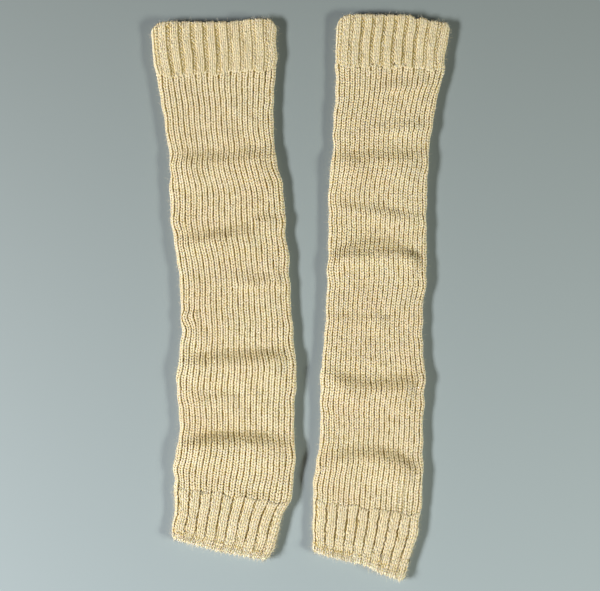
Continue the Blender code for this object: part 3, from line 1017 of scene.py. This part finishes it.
def yarn_material(name, dark_from, dark_to):
    """Soft wool: creamy colour that varies in blotches and from stitch to stitch, with painted shade
    where it lies deep and on the steep sides of creases, fine fibres in its bump and a soft sheen.
    Its tone also carries painted shade and painted highlight. It takes the full painted groove shade
    where its height is dark_from, and is free of that shade from dark_to up."""
    material = bpy.data.materials.new(name)
    material.use_nodes = True
    tree = material.node_tree
    links = tree.links
    shader = tree.nodes["Principled BSDF"]
    shader.inputs["Roughness"].default_value = 0.92
    shader.inputs["Specular IOR Level"].default_value = 0.04
    shader.inputs["Subsurface Weight"].default_value = 0.5
    shader.inputs["Subsurface Radius"].default_value = (1.0, 0.8, 0.45)
    shader.inputs["Subsurface Scale"].default_value = 0.0013
    shader.inputs["Sheen Weight"].default_value = 0.04
    shader.inputs["Sheen Roughness"].default_value = 0.55
    shader.inputs["Sheen Tint"].default_value = (1.0, 0.93, 0.8, 1.0)
    where = node(tree, "ShaderNodeTexCoord", (-1300, 0))
    blotch = node(tree, "ShaderNodeTexNoise", (-1050, 250))
    blotch.inputs["Scale"].default_value = 28
    blotch.inputs["Detail"].default_value = 2
    links.new(where.outputs["Object"], blotch.inputs["Vector"])
    spread = node(tree, "ShaderNodeMapRange", (-850, 250))
    spread.inputs["From Min"].default_value = 0.35
    spread.inputs["From Max"].default_value = 0.65
    links.new(blotch.outputs["Fac"], spread.inputs["Value"])
    cream = node(tree, "ShaderNodeMix", (-650, 300), data_type="RGBA")
    cream.inputs["A"].default_value = YARN_LIGHT
    cream.inputs["B"].default_value = YARN_WARM
    links.new(spread.outputs["Result"], cream.inputs["Factor"])
    tone = node(tree, "ShaderNodeAttribute", (-850, 0), attribute_name="tone")
    varied = node(tree, "ShaderNodeMix", (-450, 250), data_type="RGBA")
    varied.inputs["B"].default_value = YARN_MIDDLE
    links.new(tone.outputs["Fac"], varied.inputs["Factor"])
    links.new(cream.outputs["Result"], varied.inputs["A"])
    paler = node(tree, "ShaderNodeMapRange", (-650, 100))
    paler.inputs["From Min"].default_value = 0.0
    paler.inputs["From Max"].default_value = -1.0
    links.new(tone.outputs["Fac"], paler.inputs["Value"])
    pale = node(tree, "ShaderNodeMix", (-350, 400), data_type="RGBA")
    pale.inputs["B"].default_value = YARN_PALE
    links.new(paler.outputs["Result"], pale.inputs["Factor"])
    links.new(varied.outputs["Result"], pale.inputs["A"])
    # Painted crease shade, mixed in by the crease shade attribute
    pinch = node(tree, "ShaderNodeAttribute", (-850, -300), attribute_name="pinch")
    crease_shade_share = node(tree, "ShaderNodeMath", (-650, -250), operation="MULTIPLY")
    crease_shade_share.inputs[1].default_value = CREASE_SHADE_SHARE
    links.new(pinch.outputs["Fac"], crease_shade_share.inputs[0])
    crease_shaded = node(tree, "ShaderNodeMix", (-300, 350), data_type="RGBA")
    crease_shaded.inputs["B"].default_value = YARN_CREASE_SHADE
    links.new(crease_shade_share.outputs["Value"], crease_shaded.inputs["Factor"])
    links.new(pale.outputs["Result"], crease_shaded.inputs["A"])
    # Painted groove shade, darker where the height is low
    height = node(tree, "ShaderNodeAttribute", (-850, -150), attribute_name="height")
    depth = node(tree, "ShaderNodeMapRange", (-650, -100), interpolation_type="SMOOTHSTEP")
    depth.inputs["From Min"].default_value = dark_from
    depth.inputs["From Max"].default_value = dark_to
    links.new(height.outputs["Fac"], depth.inputs["Value"])
    groove_shaded = node(tree, "ShaderNodeMix", (-250, 200), data_type="RGBA")
    groove_shaded.inputs["A"].default_value = YARN_GROOVE_SHADE
    links.new(depth.outputs["Result"], groove_shaded.inputs["Factor"])
    links.new(crease_shaded.outputs["Result"], groove_shaded.inputs["B"])
    links.new(groove_shaded.outputs["Result"], shader.inputs["Base Color"])
    fibre = node(tree, "ShaderNodeTexNoise", (-650, -350))
    fibre.inputs["Scale"].default_value = 1800
    fibre.inputs["Detail"].default_value = 3
    links.new(where.outputs["Object"], fibre.inputs["Vector"])
    bump = node(tree, "ShaderNodeBump", (-250, -250))
    bump.inputs["Strength"].default_value = 0.5
    bump.inputs["Distance"].default_value = 0.0003
    links.new(fibre.outputs["Fac"], bump.inputs["Height"])
    links.new(bump.outputs["Normal"], shader.inputs["Normal"])
    return material


# The floor's colour at its upper end and at its lower end, which is painted lighter as painted light
FLOOR_UPPER_PAINTED_DIM = (0.223, 0.262, 0.264, 1.0)
FLOOR_LOWER_PAINTED_LIT = (0.33, 0.395, 0.415, 1.0)
FLOOR_SIZE = 3.0
# The floor lies this far under the cloth
FLOOR_GAP = 0.0003
# Half the length of floor over which its painted light changes
FLOOR_FADE = 0.25


def floor_material():
    """Smooth grey, painted a little lighter towards the lower ends as painted light."""
    material = bpy.data.materials.new("floor_painted_light")
    material.use_nodes = True
    tree = material.node_tree
    links = tree.links
    shader = tree.nodes["Principled BSDF"]
    where = node(tree, "ShaderNodeTexCoord", (-900, 0))
    split = node(tree, "ShaderNodeSeparateXYZ", (-700, 0))
    links.new(where.outputs["Object"], split.inputs["Vector"])
    # Painted light, growing towards the lower ends
    near = node(tree, "ShaderNodeMapRange", (-500, 0))
    near.inputs["From Min"].default_value = FLOOR_FADE
    near.inputs["From Max"].default_value = -FLOOR_FADE
    links.new(split.outputs["Y"], near.inputs["Value"])
    tone = node(tree, "ShaderNodeMix", (-300, 0), data_type="RGBA")
    tone.inputs["A"].default_value = FLOOR_UPPER_PAINTED_DIM
    tone.inputs["B"].default_value = FLOOR_LOWER_PAINTED_LIT
    links.new(near.outputs["Result"], tone.inputs["Factor"])
    links.new(tone.outputs["Result"], shader.inputs["Base Color"])
    shader.inputs["Roughness"].default_value = 0.6
    shader.inputs["Specular IOR Level"].default_value = 0.5
    return material


def make_floor():
    grid = bmesh.new()
    bmesh.ops.create_grid(grid, x_segments=1, y_segments=1, size=FLOOR_SIZE)
    bmesh.ops.translate(grid, verts=grid.verts, vec=(0, 0, -FLOOR_GAP))
    mesh = bpy.data.meshes.new("floor")
    grid.to_mesh(mesh)
    grid.free()
    mesh.materials.append(floor_material())
    floor = bpy.data.objects.new("floor", mesh)
    bpy.context.scene.collection.objects.link(floor)


PHOTO_WIDTH_PIXELS = 600
MM_PER_PIXEL = 0.85
FRAME_MIDDLE_Y = 0.0021
# The photo's scale holds at the height of the cloth's outline
OUTLINE_HEIGHT = 0.0045
CAMERA_HEIGHT = 0.9
CAMERA_REACH = 20
SENSOR_WIDTH = 36.0
PICTURE_GAMMA = 0.96


def make_camera():
    """Looks straight down, with the picture's middle between the two leg warmers."""
    camera = bpy.data.cameras.new("camera")
    camera.sensor_width = SENSOR_WIDTH
    seen = PHOTO_WIDTH_PIXELS * MM_PER_PIXEL * MM
    camera.lens = SENSOR_WIDTH * (CAMERA_HEIGHT - OUTLINE_HEIGHT) / seen
    camera.clip_end = CAMERA_REACH
    made = bpy.data.objects.new("camera", camera)
    made.location = (0.0, FRAME_MIDDLE_Y, CAMERA_HEIGHT)
    bpy.context.scene.collection.objects.link(made)
    bpy.context.scene.camera = made


LIGHT_DISTANCE = 3.0
LIGHT_WIDTH = 1.1
LIGHT_HEIGHT = 0.4
# The studio walls: their colour, the light they shed and how bright the camera sees them
WALL_COLOR = (0.9, 0.95, 1.0, 1.0)
WALL_GLOW = 0.006
WALL_SEEN = 0.12


def soft_light(name, side, ahead, up, watts, color):
    """A wide soft light on the left or the right, -1 or 1, turned so many degrees ahead towards the
    lower end, and so many up from the floor."""
    light = bpy.data.lights.new(name, "AREA")
    light.shape = "RECTANGLE"
    light.size, light.size_y = LIGHT_WIDTH, LIGHT_HEIGHT
    light.energy = watts
    light.color = color
    made = bpy.data.objects.new(name, light)
    turn, lift = radians(ahead), radians(up)
    way = Vector((side * cos(lift) * cos(turn), -cos(lift) * sin(turn), sin(lift)))
    made.location = LIGHT_DISTANCE * way
    made.rotation_euler = (-way).to_track_quat("-Z", "Y").to_euler()
    bpy.context.scene.collection.objects.link(made)


def make_lights():
    """The two soft lights and the pale studio walls."""
    soft_light("left_light", side=-1, ahead=13, up=31, watts=150, color=(1.0, 0.975, 0.975))
    soft_light("right_light", side=1, ahead=18, up=28, watts=77, color=(1.0, 0.99, 0.87))
    world = bpy.data.worlds.new("studio")
    world.use_nodes = True
    tree = world.node_tree
    glow = tree.nodes["Background"]
    glow.inputs["Color"].default_value = WALL_COLOR
    glow.inputs["Strength"].default_value = WALL_GLOW
    wall = node(tree, "ShaderNodeBackground", (0, -150))
    wall.inputs["Color"].default_value = WALL_COLOR
    wall.inputs["Strength"].default_value = WALL_SEEN
    seen = node(tree, "ShaderNodeLightPath", (0, 300))
    chosen = node(tree, "ShaderNodeMixShader", (250, 100))
    tree.links.new(seen.outputs["Is Camera Ray"], chosen.inputs["Fac"])
    tree.links.new(glow.outputs["Background"], chosen.inputs[1])
    tree.links.new(wall.outputs["Background"], chosen.inputs[2])
    tree.links.new(chosen.outputs["Shader"], tree.nodes["World Output"].inputs["Surface"])
    bpy.context.scene.world = world


def declare_sheet(warmer, piece):
    """Works out the laid width of one piece at its middle, and does nothing more with it."""
    start, end = warmer.lines[piece.start], warmer.lines[piece.end]
    width = warmer.row(np.array([(start + end) / 2]))[3][0]


def main():
    settings = bpy.context.scene.view_settings
    settings.view_transform = "Standard"
    settings.gamma = PICTURE_GAMMA
    make_camera()
    make_lights()
    make_floor()
    stitch_yarn = yarn_material("stitch_yarn", dark_from=-0.8, dark_to=0.9)
    shell_yarn = yarn_material("ground_yarn", dark_from=-0.4, dark_to=1.2)
    warmers = (
        Warmer(
            "left",
            LEFT_SECTIONS,
            LEFT_CREASES,
            LEFT_HIDDEN_CREASES,
            LEFT_LOWER_END,
            LEFT_UPPER_END,
            seed=3,
        ),
        Warmer(
            "right",
            RIGHT_SECTIONS,
            RIGHT_CREASES,
            RIGHT_HIDDEN_CREASES,
            RIGHT_LOWER_END,
            RIGHT_UPPER_END,
            seed=8,
        ),
    )
    for warmer in warmers:
        for piece in PIECES:
            cloth = make_shell(warmer, piece, shell_yarn)
            stitches = knit_stitches(warmer, piece, stitch_yarn)
            fibres = loose_fibres(warmer, piece, stitch_yarn)
            declare_sheet(warmer, piece)


main()
